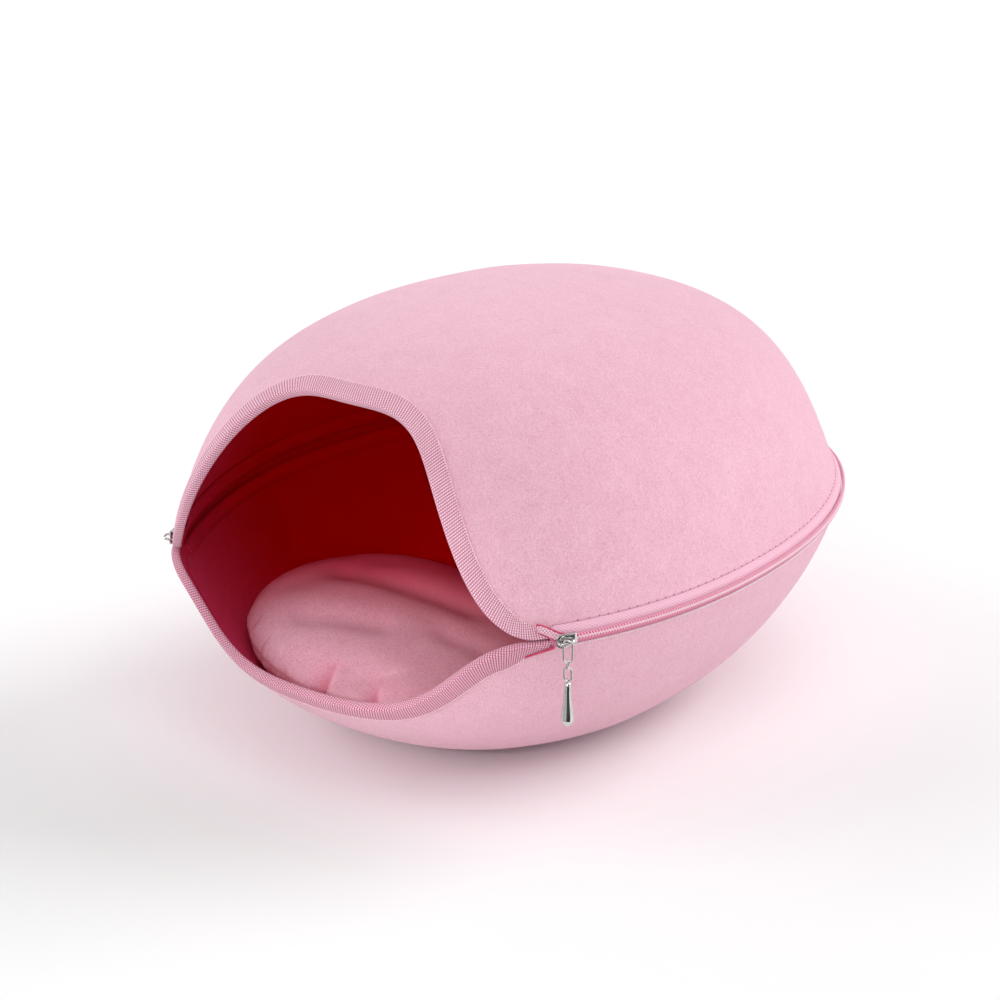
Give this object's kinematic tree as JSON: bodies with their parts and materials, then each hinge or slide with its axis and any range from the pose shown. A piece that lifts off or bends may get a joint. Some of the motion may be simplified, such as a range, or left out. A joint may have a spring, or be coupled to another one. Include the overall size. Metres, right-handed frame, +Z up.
{
  "type": "pet cave bed",
  "caption": "Hooded felt pet cave: domed upper and bowl-shaped lower half zipped together around the middle, wide bound mouth and loose filled cushion inside.",
  "frame": {"origin": "middle of the flat underside, on the floor", "axes": "+Z up; the mouth faces -Y and +Y runs back along the cave's length; +X to the right as seen from the front, the side with the zip pull"},
  "size_m": [0.3684, 0.449, 0.259],
  "materials": {
    "felt": "matte needled felt with a fine pile",
    "webbing": "matte woven tape",
    "nylon_coil": "satin",
    "chrome": "polished",
    "fleece": "matte fleecy felt"
  },
  "bodies": {
    "root": {"upper_shell": "felt", "lower_shell": "felt", "upper_mouth_binding": "webbing", "lower_mouth_binding": "webbing", "upper_zip_tape": "webbing", "lower_zip_tape": "webbing", "upper_zip_coil": "nylon_coil", "lower_zip_coil": "nylon_coil", "zip_slider_right": "chrome", "zip_slider_left": "chrome", "pull_loop": "chrome", "pull_link": "chrome", "pull_ring": "chrome", "pull_drop": "chrome", "cushion": "fleece"}
  },
  "joints": []
}
